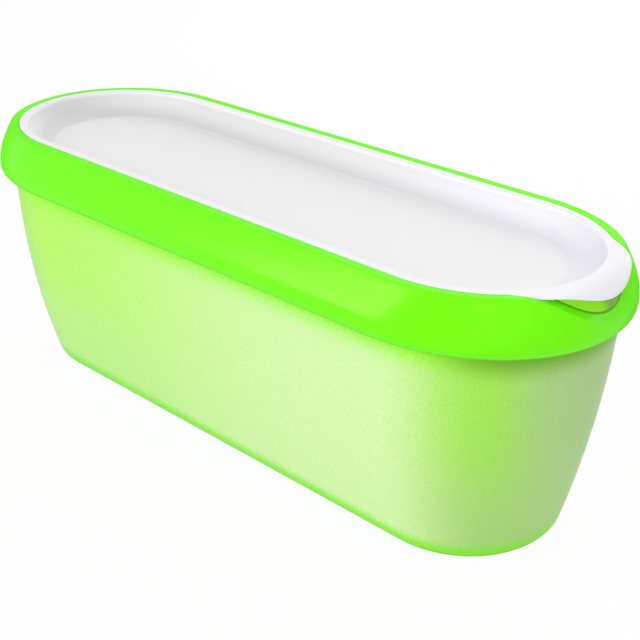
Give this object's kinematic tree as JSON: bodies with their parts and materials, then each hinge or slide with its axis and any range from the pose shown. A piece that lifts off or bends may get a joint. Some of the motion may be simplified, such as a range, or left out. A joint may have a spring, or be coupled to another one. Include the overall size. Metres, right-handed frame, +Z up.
{
  "type": "ice cream storage tub",
  "caption": "Long oval freezer tub for ice cream, shut by a dished snap-in lid with a pull tab over a finger notch in a flared rim band.",
  "frame": {"origin": "middle of the base, on the surface that the tub stands on", "axes": "+X along the tub's length towards the lid's pull tab, +Z up, +Y across the tub"},
  "size_m": [0.343, 0.1248, 0.1226],
  "materials": {
    "frosted_body": "frosted, translucent",
    "lime_band": "glossy",
    "white_lid": "satin",
    "lime_foot": "satin"
  },
  "bodies": {
    "root": {"tub_body": "frosted_body", "rim_band": "lime_band", "lid": "white_lid", "base_foot": "lime_foot"}
  },
  "joints": []
}
